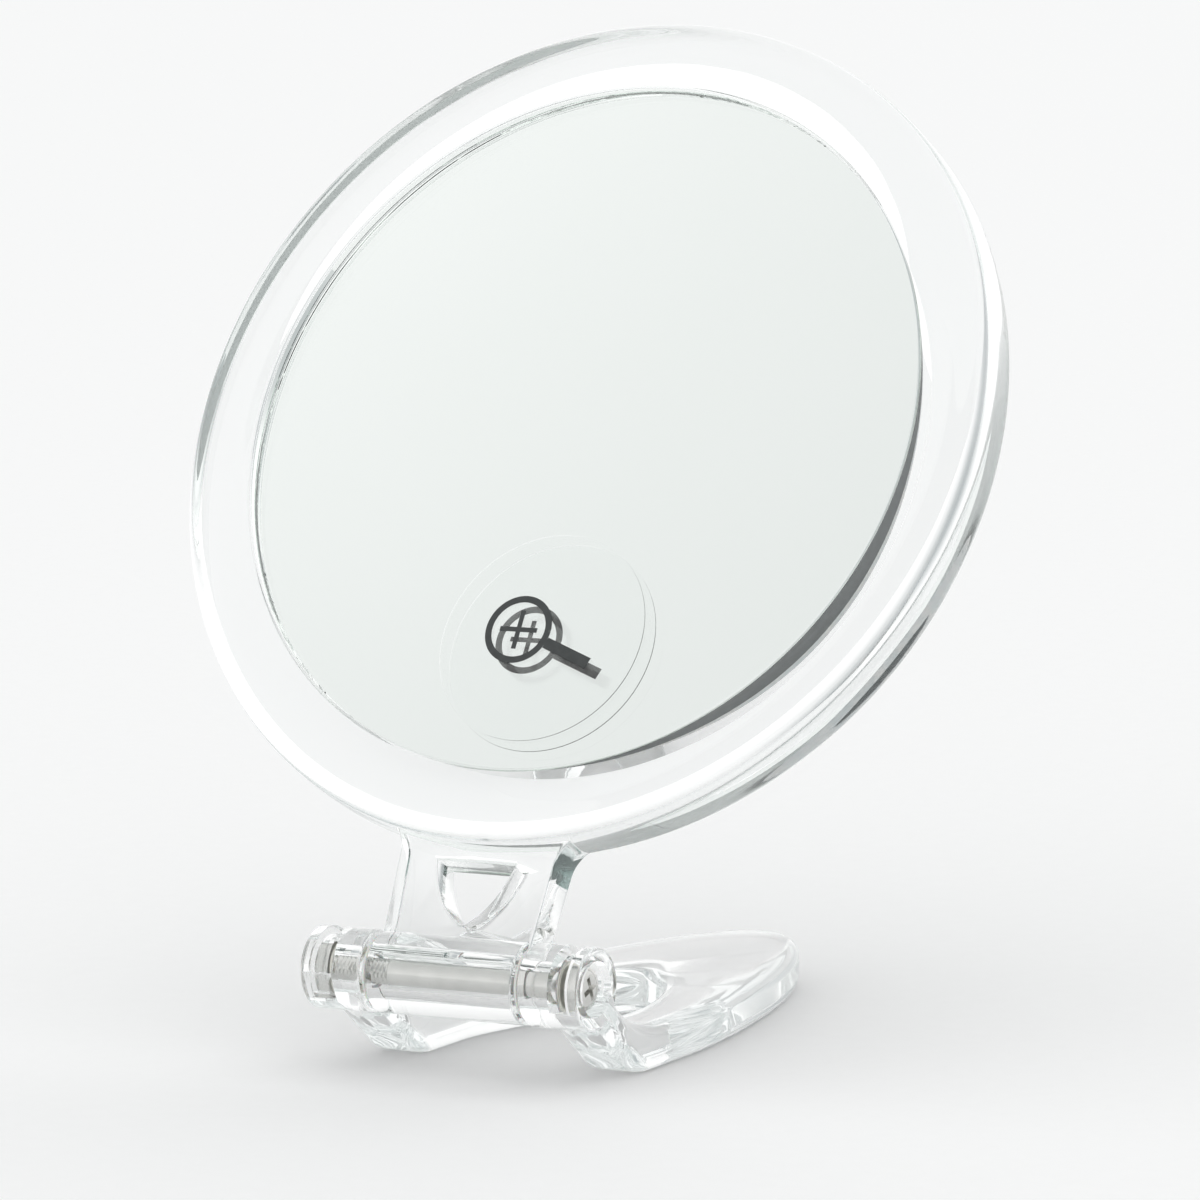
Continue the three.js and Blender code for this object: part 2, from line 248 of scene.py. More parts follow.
def bezier(p0, p1, p2, p3, steps):
    """Points of a cubic curve, without its first."""
    points = []
    for i in range(1, steps + 1):
        t = i / steps
        a, b, c, d = (1 - t) ** 3, 3 * t * (1 - t) ** 2, 3 * t * t * (1 - t), t**3
        points.append(tuple(a * p0[k] + b * p1[k] + c * p2[k] + d * p3[k] for k in (0, 1)))
    return points


def quadratic(p0, p1, p2, steps):
    """Points of a quadratic curve, without its first."""
    lift = lambda end: tuple(end[k] + (p1[k] - end[k]) * 2 / 3 for k in (0, 1))
    return bezier(p0, lift(p0), lift(p2), p2, steps)


def rounded(profile, radius, steps=5):
    """A closed profile with each corner replaced by a small arc-like curve."""
    points = []
    count = len(profile)
    for i, corner in enumerate(profile):
        ends = []
        for other in (profile[i - 1], profile[(i + 1) % count]):
            way = Vector(other) - Vector(corner)
            reach = min(radius, way.length * 0.45)
            ends.append(tuple(Vector(corner) + way.normalized() * reach))
        points.append(ends[0])
        points.extend(quadratic(ends[0], corner, ends[1], steps))
    return points


def settle(piece):
    """Bakes the modifiers into the mesh."""
    depsgraph = bpy.context.evaluated_depsgraph_get()
    mesh = bpy.data.meshes.new_from_object(piece.evaluated_get(depsgraph))
    piece.modifiers.clear()
    piece.data = mesh


def combine(piece, other, operation):
    """Joins or cuts a piece with another, which it uses up."""
    modifier = piece.modifiers.new("combine", "BOOLEAN")
    modifier.operation = operation
    modifier.solver = "EXACT"
    modifier.object = other
    settle(piece)
    bpy.data.objects.remove(other)
    return piece


def join(piece, *others):
    for other in others:
        combine(piece, other, "UNION")
    return piece


def cut(piece, *others):
    for other in others:
        combine(piece, other, "DIFFERENCE")
    return piece


def soften(piece, width, angle=35, segments=4):
    """Rounds the edges that are sharper than angle."""
    modifier = piece.modifiers.new("soften", "BEVEL")
    modifier.width = width
    modifier.segments = segments
    modifier.limit_method = "ANGLE"
    modifier.angle_limit = math.radians(angle)
    modifier.use_clamp_overlap = False
    settle(piece)
    return piece


def paint_by_face(piece, materials, choose):
    """Gives each face one of the materials, by its centre and normal."""
    for material in materials:
        piece.data.materials.append(material)
    for face in piece.data.polygons:
        face.material_index = choose(face.center, face.normal)


def place(piece, drawing_frame, body, slot, *nodes):
    """Moves a finished piece into the row frame and ties it to the CAD model."""
    piece.data.transform(drawing_frame)
    piece.data.shade_smooth()
    piece.data.set_sharp_from_angle(angle=math.radians(32))
    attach(piece, body)
    if nodes:
        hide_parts(*nodes)
    return piece


# ---- Materials ---------------------------------------------------------------------


def new_material(name):
    """A node material, with what its own function needs to fill it."""
    material = bpy.data.materials.new(name)
    material.use_nodes = True
    nodes = material.node_tree.nodes
    return material, nodes, material.node_tree.links, nodes["Principled BSDF"]


def noise(nodes, links, scale, detail=3.0, roughness=0.5):
    """Noise in object coordinates, scale in waves per metre."""
    where = nodes.new("ShaderNodeTexCoord")
    texture = nodes.new("ShaderNodeTexNoise")
    texture.inputs["Scale"].default_value = scale
    texture.inputs["Detail"].default_value = detail
    texture.inputs["Roughness"].default_value = roughness
    links.new(where.outputs["Object"], texture.inputs["Vector"])
    return texture.outputs["Fac"]


def ramp_between(nodes, links, source, low, high):
    """Maps a 0 to 1 signal to low to high."""
    spread = nodes.new("ShaderNodeMapRange")
    spread.inputs["To Min"].default_value = low
    spread.inputs["To Max"].default_value = high
    links.new(source, spread.inputs["Value"])
    return spread.outputs["Result"]


def step_between(nodes, links, source, start, end):
    """A soft step from 0 to 1 as a signal goes from start to end."""
    step = nodes.new("ShaderNodeMapRange")
    step.interpolation_type = "SMOOTHSTEP"
    step.inputs["From Min"].default_value = start
    step.inputs["From Max"].default_value = end
    links.new(source, step.inputs["Value"])
    return step.outputs["Result"]


def tinted(nodes, links, source, low, high):
    """Mixes two colours by a signal; each is a tuple or another node's output."""
    mix = nodes.new("ShaderNodeMix")
    mix.data_type = "RGBA"
    for name, colour in (("A", low), ("B", high)):
        if isinstance(colour, tuple):
            mix.inputs[name].default_value = (*colour, 1)
        else:
            links.new(colour, mix.inputs[name])
    links.new(source, mix.inputs["Factor"])
    return mix.outputs["Result"]


def coloured(nodes, links, source, shader, low, high):
    """Lets a signal vary a surface's colour."""
    links.new(tinted(nodes, links, source, low, high), shader.inputs["Base Color"])


def roughened(nodes, links, source, shader, low, high):
    """Lets a signal vary a surface's roughness."""
    links.new(ramp_between(nodes, links, source, low, high), shader.inputs["Roughness"])


def bumped(nodes, links, height, shader, distance, strength=1.0):
    """Gives a surface relief, distance metres deep."""
    bump = nodes.new("ShaderNodeBump")
    bump.inputs["Strength"].default_value = strength
    bump.inputs["Distance"].default_value = distance
    links.new(height, bump.inputs["Height"])
    links.new(bump.outputs["Normal"], shader.inputs["Normal"])


def acrylic():
    """Clear moulded acrylic: faint flow waves, hairline haze and a cool body tint."""
    material, nodes, links, shader = new_material("clear_acrylic")
    shader.inputs["Transmission Weight"].default_value = 1
    shader.inputs["IOR"].default_value = 1.49
    haze = noise(nodes, links, 900, 4)
    roughened(nodes, links, haze, shader, 0.0, 0.025)
    cloud = noise(nodes, links, 30, 2)
    coloured(nodes, links, cloud, shader, (0.985, 0.992, 0.99), (1, 1, 1))
    wave = noise(nodes, links, 60, 1.5)
    bumped(nodes, links, wave, shader, 0.00006)
    body = nodes.new("ShaderNodeVolumeAbsorption")
    body.inputs["Color"].default_value = (0.72, 0.84, 0.82, 1)
    body.inputs["Density"].default_value = 2.5
    links.new(body.outputs["Volume"], nodes["Material Output"].inputs["Volume"])
    return material


def glass():
    """Float glass of the mirrors, faintly green."""
    material, nodes, links, shader = new_material("mirror_glass")
    shader.inputs["Transmission Weight"].default_value = 1
    shader.inputs["IOR"].default_value = 1.52
    smudge = noise(nodes, links, 120, 5)
    roughened(nodes, links, smudge, shader, 0.0, 0.012)
    cloud = noise(nodes, links, 18, 2)
    coloured(nodes, links, cloud, shader, (0.975, 0.99, 0.982), (0.99, 1, 0.995))
    return material


def silver():
    """The mirror coat on the back of the glass."""
    material, nodes, links, shader = new_material("silver_coat")
    shader.inputs["Metallic"].default_value = 1
    cloud = noise(nodes, links, 25, 2)
    coloured(nodes, links, cloud, shader, (0.945, 0.962, 0.95), (0.965, 0.978, 0.968))
    fog = noise(nodes, links, 400, 3)
    roughened(nodes, links, fog, shader, 0.0, 0.02)
    return material


def ground_edge():
    """The ground rim of the flat glass: nearly white and matt."""
    material, nodes, links, shader = new_material("ground_glass_edge")
    grit = noise(nodes, links, 2500, 4)
    coloured(nodes, links, grit, shader, (0.84, 0.89, 0.87), (0.92, 0.96, 0.94))
    roughened(nodes, links, grit, shader, 0.35, 0.6)
    bumped(nodes, links, grit, shader, 0.00003)
    return material


def painted_band(name, low, high):
    """A streaked band painted on the ring's wall and seen through the clear ring, standing in
    for what the wall reflects and shows.
    """
    material, nodes, links, shader = new_material(name)
    streak = noise(nodes, links, 450, 3)
    steep = nodes.new("ShaderNodeMapRange")
    steep.inputs["From Min"].default_value = 0.35
    steep.inputs["From Max"].default_value = 0.65
    links.new(streak, steep.inputs["Value"])
    coloured(nodes, links, steep.outputs["Result"], shader, low, high)
    roughened(nodes, links, streak, shader, 0.35, 0.55)
    bumped(nodes, links, streak, shader, 0.00002)
    return material


def steel(name, low, high, roughness):
    """Bright zinc-plated steel with turning marks round X and soft stains."""
    material, nodes, links, shader = new_material(name)
    shader.inputs["Metallic"].default_value = 1
    stain = noise(nodes, links, 350, 4, 0.6)
    coloured(nodes, links, stain, shader, low, high)
    where = nodes.new("ShaderNodeTexCoord")
    stretch = nodes.new("ShaderNodeMapping")
    stretch.inputs["Scale"].default_value = (9000, 250, 250)
    links.new(where.outputs["Object"], stretch.inputs["Vector"])
    lines = nodes.new("ShaderNodeTexNoise")
    lines.inputs["Scale"].default_value = 1
    links.new(stretch.outputs["Vector"], lines.inputs["Vector"])
    roughened(nodes, links, lines.outputs["Fac"], shader, roughness * 0.6, roughness * 1.4)
    bumped(nodes, links, lines.outputs["Fac"], shader, 0.000006, 0.6)
    return material


def nylon():
    """Washer nylon: milky, softly translucent."""
    material, nodes, links, shader = new_material("nylon")
    cloud = noise(nodes, links, 500, 3)
    coloured(nodes, links, cloud, shader, (0.72, 0.73, 0.7), (0.84, 0.85, 0.82))
    roughened(nodes, links, cloud, shader, 0.35, 0.5)
    shader.inputs["Subsurface Weight"].default_value = 0.4
    shader.inputs["Subsurface Scale"].default_value = 0.0005
    bumped(nodes, links, cloud, shader, 0.00002)
    return material


def foam():
    """Closed-cell foam between the two glasses."""
    material, nodes, links, shader = new_material("foam")
    cells = noise(nodes, links, 3000, 4)
    coloured(nodes, links, cells, shader, (0.78, 0.8, 0.79), (0.88, 0.9, 0.89))
    roughened(nodes, links, cells, shader, 0.8, 0.95)
    bumped(nodes, links, cells, shader, 0.00005)
    return material


def film():
    """Clear film of the round sticker, with a little waviness."""
    material, nodes, links, shader = new_material("label_film")
    shader.inputs["Transmission Weight"].default_value = 1
    shader.inputs["IOR"].default_value = 1.45
    wave = noise(nodes, links, 200, 2)
    coloured(nodes, links, wave, shader, (0.985, 0.99, 0.988), (1, 1, 1))
    roughened(nodes, links, wave, shader, 0.0, 0.03)
    bumped(nodes, links, wave, shader, 0.00001)
    return material


def ink():
    """Printed ink: nearly black, slightly uneven."""
    material, nodes, links, shader = new_material("label_ink")
    patch = noise(nodes, links, 900, 4)
    coloured(nodes, links, patch, shader, (0.02, 0.025, 0.025), (0.06, 0.065, 0.065))
    roughened(nodes, links, patch, shader, 0.35, 0.55)
    return material


ACRYLIC = acrylic()
GLASS = glass()
SILVER = silver()
STEEL = steel("pin_steel", (0.6, 0.6, 0.58), (0.74, 0.74, 0.72), 0.22)
WASHER_STEEL = steel("washer_steel", (0.64, 0.63, 0.56), (0.8, 0.79, 0.72), 0.3)
NYLON = nylon()
FOAM = foam()
FILM = film()
INK = ink()
GROUND_EDGE = ground_edge()
# painted shade: a dark band that stands in for the floor shadow the recess wall reflects
PAINTED_SHADE_BAND = painted_band("shade_band_paint", (0.06, 0.075, 0.075), (0.11, 0.13, 0.13))
# painted reflection: pale streaks that stand in for the stack's edge and rear rim seen through
# the wall
PAINTED_STREAK_BAND = painted_band("streak_band_paint", (0.78, 0.84, 0.85), (0.95, 0.95, 0.93))


# ---- Head ----------------------------------------------------------------------------


def ring_side(steps=44):
    """The outer half of the ring's section, from its back crest round to its front."""
    points = []
    for i in range(steps + 1):
        angle = math.pi * (i / steps - 0.5)
        along = abs(math.cos(angle)) ** (2 / SECTION_POWER)
        up = abs(math.sin(angle)) ** (2 / SECTION_POWER)
        points.append((
            SECTION_R + (RING_R - SECTION_R) * along,
            RING_HALF * up * math.copysign(1, angle),
        ))
    return points


def ring_dome(steps=12):
    """The dome between the ring's front crest and the lip round the glass."""
    points = []
    for i in range(1, steps + 1):
        share = i / steps
        points.append((
            SECTION_R + (LIP_R + LIP_ROUND - SECTION_R) * share,
            RING_HALF + (LIP_Z - RING_HALF) * share**2,
        ))
    return points


def crescent(x, y):
    """How near a place is to the middle of the painted bands: 1 there, near 0 past its ends."""
    away = math.degrees(math.atan2(y, x)) - PAINTED_BAND_MIDDLE_DEG
    return max(0.01, 1 - min(1, abs(away) / PAINTED_BAND_HALF_DEG) ** 2)


def ring():
    """The clear ring; its wall has edge loops where the painted shade and streak bands end."""
    lip_back = LIP_Z - LIP_THICK
    profile = [(RECESS_R, -RING_HALF), *ring_side(), *ring_dome()]
    profile += quadratic(profile[-1], (LIP_R, LIP_Z), (LIP_R, LIP_Z - LIP_ROUND), 5)
    profile += [(LIP_R, lip_back), (RECESS_R, lip_back), (RECESS_R, PAINTED_BAND_TOP)]
    profile += [(RECESS_R, PAINTED_BAND_TOP - h) for h in (SHADE_BAND_DEPTH, STREAK_BAND_DEPTH)]
    piece = turned("front_frame_clear", profile)
    # bends the painted bands' lower edge loops into a crescent on the lower right
    for vertex in piece.data.vertices:
        x, y, z = vertex.co
        for height in (SHADE_BAND_DEPTH, STREAK_BAND_DEPTH):
            if math.hypot(x, y) < RECESS_R + 0.1 and abs(z - PAINTED_BAND_TOP + height) < 0.01:
                vertex.co.z = PAINTED_BAND_TOP - height * crescent(x, y)
    return piece


def ring_paint(centre, normal):
    """The front frame's faces: 0 clear, 1 in the band of painted shade, 2 in the band of painted
    streaks.
    """
    x, y, z = centre
    if abs(math.hypot(x, y) - RECESS_R) > 0.1 or z > PAINTED_BAND_TOP:
        return 0
    if z > PAINTED_BAND_TOP - SHADE_BAND_DEPTH * crescent(x, y):
        return 1
    return 2 if z > PAINTED_BAND_TOP - STREAK_BAND_DEPTH * crescent(x, y) else 0


def neck():
    """The flat neck, with rounded long edges, from inside the ring to the hinge."""
    w, flare = NECK_HALF_WIDTH, NECK_FLARE
    reach = RING_R - 1
    at = lambda x: -math.sqrt(reach**2 - x**2)
    low = at(w) - flare - 1
    right = [(w + flare, at(w + flare))]
    right += quadratic(right[0], (w, at(w) - 1), (w, low), 10)
    right.append((BARREL_HALF, -HINGE_DOWN))
    left = [(-x, y) for x, y in reversed(right)]
    top = [(x, -RING_R + NECK_ROOT) for x in (-6, 0, 6)]
    slab = prism(
        "neck",
        right + left + top,
        -HINGE_BACK - NECK_THICK / 2,
        -HINGE_BACK + NECK_THICK / 2,
    )
    return soften(slab, NECK_EDGE)


def hole_outline(grow):
    """The hang hole, a flat top and two bowed sides, grown outwards a little."""
    w = HOLE_HALF_WIDTH + grow
    top = -HOLE_TOP + grow
    tip = -HOLE_TOP - HOLE_DEPTH - grow
    bulge = (0.75 * w, -HOLE_TOP - 0.62 * HOLE_DEPTH)
    right = [(HOLE_TIP_R, tip + HOLE_TIP_R)]
    right += quadratic(right[0], bulge, (w, top), 14)
    left = [(-x, y) for x, y in reversed(right)]
    return left + quadratic(left[-1], (0, tip), right[0], 6)[:-1] + right


def hang_hole():
    """The hole's cutter, flared at both faces so that its mouth is rounded."""
    half = NECK_THICK / 2
    steps = [(-half - 1, HOLE_MOUTH[0][1])]
    steps += [(-half + depth, grow) for depth, grow in HOLE_MOUTH]
    steps += [(-h, grow) for h, grow in reversed(steps)]
    layers = [
        [(x, y, h - HINGE_BACK) for x, y in hole_outline(grow)] for h, grow in steps
    ]
    return stacked("hang_hole", layers)


def on_hinge(piece):
    """Moves a piece drawn round the pin to where the pin is in the head's frame."""
    piece.data.transform(Matrix.Translation((0, -HINGE_DOWN, -HINGE_BACK)))
    return piece


def rod(name, radius, low, high, edge=0.0):
    """A cylinder along X; edge is the rounding at its ends."""
    if edge:
        profile = [(0, low), (radius - edge, low)]
        profile += quadratic(profile[-1], (radius, low), (radius, low + edge), 4)
        profile += [(radius, high - edge)]
        profile += quadratic(profile[-1], (radius, high), (radius - edge, high), 4)
        profile += [(0, high)]
    else:
        profile = [(0, low), (radius, low), (radius, high), (0, high)]
    return turned(name, profile, ROUND, "X")


def front_frame():
    """Ring, neck and hinge barrel in one moulding."""
    barrel = on_hinge(rod("barrel", BARREL_R, -BARREL_HALF, BARREL_HALF, BARREL_EDGE))
    bore = on_hinge(rod("bore", BARREL_BORE_R, -BARREL_HALF - 1, BARREL_HALF + 1))
    moulding = join(ring(), neck(), barrel)
    cut(moulding, hang_hole(), bore)
    # paints the band of painted shade and the band of painted streaks on the recess wall
    paint_by_face(moulding, [ACRYLIC, PAINTED_SHADE_BAND, PAINTED_STREAK_BAND], ring_paint)
    place(moulding, HEAD, "head", "clear_acrylic", "front_frame")


def rear_rim():
    """The retaining rim in the ring's back."""
    back, inner, outer = -RING_HALF, -RING_HALF + RIM_THICK, RECESS_R - GAP
    profile = rounded(
        [(RIM_OPENING_R, back), (outer, back), (outer, inner), (RIM_OPENING_R, inner)], 0.3
    )
    rim = turned("rear_rim_clear", profile)
    rim.data.materials.append(ACRYLIC)
    place(rim, HEAD, "head", "clear_acrylic", "rear_rim")


def concave(r):
    """Height of the concave glass's front face at radius r."""
    return GLASS_EDGE_Z - MAGNIFIER_SAG * (1 - (r / GLASS_R) ** 2)


def magnifying_mirror():
    """Concave glass silvered on its back, with a polished rim."""
    steps = 40
    front = [GLASS_R * i / steps for i in range(steps + 1)]
    front[-1] -= MAGNIFIER_CHAMFER
    profile = [(r, concave(r) - MAGNIFIER_THICK) for r in front]
    profile += [(GLASS_R, GLASS_EDGE_Z - MAGNIFIER_THICK + MAGNIFIER_CHAMFER)]
    profile += [(GLASS_R, GLASS_EDGE_Z - MAGNIFIER_CHAMFER)]
    profile += [(r, concave(r)) for r in reversed(front)]
    disc = turned("magnifying_glass", profile)

    def side(centre, normal):
        r = math.hypot(centre.x, centre.y)
        on_edge = r > GLASS_R - 0.3
        return 0 if on_edge or centre.z > concave(r) - MAGNIFIER_THICK / 2 else 1

    paint_by_face(disc, [GLASS, SILVER], side)
    place(disc, HEAD, "head", "silvered_glass", "magnifying_mirror")


def plane_mirror():
    """Flat glass silvered on its inner side."""
    back = PLANE_FRONT - PLANE_THICK
    profile = [(0, back), (GLASS_R * 0.5, back), (GLASS_R - PLANE_CHAMFER, back)]
    profile += [(GLASS_R, back + PLANE_CHAMFER), (GLASS_R, PLANE_FRONT)]
    profile += [(GLASS_R * 0.5, PLANE_FRONT), (0, PLANE_FRONT)]
    disc = turned("plane_glass", profile)

    def side(centre, normal):
        if abs(normal.z) < 0.9:
            return 2
        return 1 if normal.z > 0 else 0

    paint_by_face(disc, [GLASS, SILVER, GROUND_EDGE], side)
    place(disc, HEAD, "head", "silvered_glass", "plane_mirror")


def label_film():
    """The round film, laid on the concave glass."""
    rings, steps = 12, 96
    cx, cy = LABEL_CENTRE
    layers = {}
    vertices, faces = [], []
    for side, lift in (("top", LABEL_RISE + LABEL_THICK), ("low", LABEL_RISE)):
        layers[side] = len(vertices)
        for i in range(rings + 1):
            r = LABEL_R * i / rings
            for k in range(steps):
                a = 2 * math.pi * k / steps
                x, y = cx + r * math.cos(a), cy + r * math.sin(a)
                vertices.append((x, y, concave(math.hypot(x, y)) + lift))
    for start in layers.values():
        for row in range(start, start + rings * steps, steps):
            faces += loop_faces(row, row + steps, steps)
    rim = rings * steps
    faces += loop_faces(layers["top"] + rim, layers["low"] + rim, steps)
    label = mesh_from("label_film", vertices, faces)
    label.data.materials.append(FILM)
    place(label, HEAD, "head", "label_film", "magnification_label")


def stroke(path, width):
    """A flat printed band along a path, as rows of two points."""
    rows = []
    for i, point in enumerate(path):
        before, after = path[max(i - 1, 0)], path[min(i + 1, len(path) - 1)]
        way = (Vector(after) - Vector(before)).normalized()
        side = Vector((-way.y, way.x)) * width / 2
        rows.append((Vector(point) + side, Vector(point) - side))
    return rows


def line(start, end, steps=12):
    """Points along a straight line, close enough to follow the concave glass."""
    return [tuple(Vector(start).lerp(Vector(end), i / steps)) for i in range(steps + 1)]


def zoom_sign():
    """A generic zoom sign, as strokes: a magnifying glass with a plus in it."""
    cx, cy = (LABEL_CENTRE[k] + SIGN_OFFSET[k] for k in (0, 1))
    turns = [2 * math.pi * k / 64 for k in range(65)]
    lens = [(cx + SIGN_LENS_R * math.cos(a), cy + SIGN_LENS_R * math.sin(a)) for a in turns]
    slant = math.radians(SIGN_HANDLE_DEG)
    way = Vector((math.cos(slant), math.sin(slant)))
    grip = Vector((cx, cy)) + way * (SIGN_LENS_R + SIGN_WEIGHT / 2)
    arm, half = SIGN_PLUS, SIGN_PLUS_WEIGHT / 2
    return [
        stroke(lens, SIGN_WEIGHT),
        stroke(line(grip, grip + way * SIGN_HANDLE), SIGN_HANDLE_WEIGHT),
        stroke(line((cx - arm, cy), (cx + arm, cy)), SIGN_PLUS_WEIGHT),
        stroke(line((cx, cy + half), (cx, cy + arm)), SIGN_PLUS_WEIGHT),
        stroke(line((cx, cy - arm), (cx, cy - half)), SIGN_PLUS_WEIGHT),
    ]


def label_print():
    """The sign in ink, each stroke a thin closed band that follows the glass."""
    vertices, faces = [], []
    for rows in zoom_sign():
        start, count = len(vertices), len(rows)
        over = 2 * count
        for lift in (PRINT_RISE, PRINT_RISE + PRINT_THICK):
            for pair in rows:
                for p in pair:
                    vertices.append((p.x, p.y, concave(math.hypot(p.x, p.y)) + lift))
        for i in range(count - 1):
            a, b = start + 2 * i, start + 2 * i + 2
            faces.append((a, a + 1, b + 1, b))
            faces.append((a + over, a + 1 + over, b + 1 + over, b + over))
            faces.append((a, b, b + over, a + over))
            faces.append((a + 1, b + 1, b + 1 + over, a + 1 + over))
        for i in (start, start + 2 * (count - 1)):
            faces.append((i, i + 1, i + 1 + over, i + over))
    printed = mesh_from("label_print", vertices, faces)
    printed.data.materials.append(INK)
    place(printed, HEAD, "head", "label_film")


# ---- Stand -----------------------------------------------------------------------------

BOTTOM = -HINGE_HEIGHT + 0.02  # a hair above the table
TOP = STAND_TOP - HINGE_HEIGHT


def plan_outline():
    """The stand from above: a rounded tongue with an arched slot between its arms."""
    w, n, start = STAND_HALF_WIDTH, EAR_INNER, -9
    tip = (0, STAND_LENGTH)
    right = [(w, start), (w, SIDE_STRAIGHT)]
    right += bezier(right[-1], (w, SIDE_PULL), (TIP_WIDTH, STAND_LENGTH), tip, 48)
    left = [(-x, y) for x, y in reversed(right)][1:]
    slot_end = (0, NOTCH_END)
    inner = [(-n, start), (-n, NOTCH_STRAIGHT)]
    inner += bezier(inner[-1], (-n, NOTCH_PULL), (-NOTCH_ROUND, NOTCH_END), slot_end, 28)
    inner += [(-x, y) for x, y in reversed(inner)][1:]
    return right + left + inner


def side_outline():
    """The stand from the side: ear, sloping heel, flat foot, flat top, rising arm."""
    far = STAND_LENGTH + 5
    points = [HEEL_TOP, HEEL_FOOT]
    points += quadratic(points[-1], (HEEL_PULL, BOTTOM), (HEEL_REST, BOTTOM), 8)
    points += [(far, BOTTOM), (far, TOP), (ARM_RUNOUT, TOP)]
    points += quadratic(points[-1], (ARM_PULL, TOP + 0.5), ARM_TOP, 10)
    points += [ARM_CORE, (-ARM_CORE[0], ARM_CORE[1])]
    return points


def ear(side):
    """One ear, right (1) or left (-1): a short boss with a ramped groove over its top."""
    boss = rod("ear", EAR_R, EAR_INNER, STAND_HALF_WIDTH, EAR_EDGE)
    start, end = EAR_NECK
    profile = [
        (EAR_NECK_R, start),
        (EAR_R + 0.6, start - EAR_RAMP),
        (EAR_R + 3, start - EAR_RAMP),
        (EAR_R + 3, end),
        (EAR_NECK_R, end),
    ]
    groove = turned("groove", profile, ROUND, "X")
    above = prism("above", [(-20, -3), (20, -3), (20, 20), (-20, 20)], 0, 40, "X")
    combine(groove, above, "INTERSECT")
    cut(boss, groove)
    if side < 0:
        boss.data.transform(Matrix.Rotation(math.pi, 4, "Z"))
    return boss


def hexagon(name, across_flats, low, high):
    """A six-sided prism along X."""
    corner = across_flats / math.sqrt(3)
    outline = [
        (corner * math.cos(math.pi * k / 3), corner * math.sin(math.pi * k / 3))
        for k in range(6)
    ]
    return prism(name, outline, low, high, "X")


def stand():
    """Leaf, arms and ears in one moulding: the side outline cut to the plan outline."""
    w = STAND_HALF_WIDTH + 3
    body = prism("stand_clear", side_outline(), -w, w, "X")
    combine(body, prism("plan", plan_outline(), -40, 20), "INTERSECT")
    soften(body, LEAF_EDGE, 40, 6)
    join(body, ear(1), ear(-1))
    end = STAND_HALF_WIDTH + 1
    cut(
        body,
        rod("bores", EAR_BORE_R, -end, end),
        rod("head_pocket", HEAD_POCKET_R, POCKET_FLOOR, end),
        hexagon("nut_pocket", NUT_POCKET_FLATS, -end, -POCKET_FLOOR),
    )
    body.data.materials.append(ACRYLIC)
    place(body, STAND, "stand", "clear_acrylic", "stand")


# ---- Hinge hardware ---------------------------------------------------------------------


def threaded_shank():
    """The pin's shank; its last stretch carries a real helical thread."""
    per_turn, around = 8, 40
    rise = THREAD_PITCH / per_turn
    stop = SCREW_TIP + THREAD_LENGTH
    places = [SCREW_TIP + 0.01 + rise * i for i in range(int(THREAD_LENGTH / rise))]
    places += [stop + 0.3, SCREW_SEAT * 0.5, SCREW_SEAT + 0.1]
    layers = []
    for x in places:
        # the thread runs out within one turn, and is shallow at the pin's tip
        fade = max(0, min(1, (stop - x) / THREAD_PITCH, (x - SCREW_TIP) / 0.5 + 0.3))
        layer = []
        for k in range(around):
            a = 2 * math.pi * k / around
            phase = (x / THREAD_PITCH + k / around) % 1
            groove = abs(2 * phase - 1) * THREAD_DEPTH * fade
            r = SCREW_R - 0.02 - groove
            layer.append((x, r * math.cos(a), r * math.sin(a)))
        layers.append(layer)
    return stacked("shank", layers)


def cross_recess():
    """The cross in the screw's head: two tapered slots that meet in a deep point."""
    top = SCREW_SEAT + SCREW_HEAD_HEIGHT
    levels = [(top + 0.3, CROSS_TOP), (top - CROSS_DEPTH, CROSS_BOTTOM)]
    corners = [(-0.5, -0.5), (0.5, -0.5), (0.5, 0.5), (-0.5, 0.5)]
    layers = [[(x, y * size[0], z * size[1]) for y, z in corners] for x, size in levels]
    slots = []
    for turn in (CROSS_TURN_DEG, CROSS_TURN_DEG + 90):
        slot = stacked("slot", layers)
        slot.data.transform(Matrix.Rotation(math.radians(turn), 4, "X"))
        slots.append(slot)
    return join(*slots)


def hinge_screw():
    """The M4 pan-head screw that is the hinge's pin."""
    top, r = SCREW_SEAT + SCREW_HEAD_HEIGHT, SCREW_HEAD_R
    profile = [(0, SCREW_SEAT), (r - 0.15, SCREW_SEAT), (r, SCREW_SEAT + 0.15)]
    profile += [(r, top - 1.3)]
    profile += quadratic(profile[-1], (r, top - 0.3), (r * 0.62, top - 0.05), 8)
    profile += quadratic(profile[-1], (r * 0.3, top), (0, top), 4)
    head = turned("hinge_screw_turned", profile, ROUND, "X")
    cut(head, cross_recess())
    join(head, threaded_shank())
    head.data.materials.append(STEEL)
    place(head, STAND, "stand", "steel", "hinge_screw")


def hinge_nut():
    """A hexagon nut with its corners chamfered on both faces."""
    near = -SCREW_SEAT
    far = near - NUT_THICK
    nut = hexagon("hinge_nut_hex", NUT_ACROSS_FLATS, far, near)
    corner, flat_r = NUT_ACROSS_FLATS / math.sqrt(3), NUT_ACROSS_FLATS / 2
    profile = [(0, far), (flat_r, far), (corner, far + NUT_CHAMFER)]
    profile += [(corner, near - NUT_CHAMFER), (flat_r, near), (0, near)]
    combine(nut, turned("cone", profile, ROUND, "X"), "INTERSECT")
    cut(nut, rod("tapped", SCREW_R + 0.2, far - 1, near + 1))
    soften(nut, 0.08, 30, 2)
    nut.data.materials.append(STEEL)
    place(nut, STAND, "stand", "steel", "hinge_nut")


def washer(node, radius, low, material, slot):
    """A flat ring round the pin, with rounded edges, that starts at x = low."""
    high = low + WASHER_THICK
    outline = [(WASHER_BORE_R, low), (radius, low), (radius, high), (WASHER_BORE_R, high)]
    piece = turned(node + "_" + slot, rounded(outline, WASHER_THICK * 0.3, 3), ROUND, "X")
    piece.data.materials.append(material)
    place(piece, STAND, "stand", slot, node)


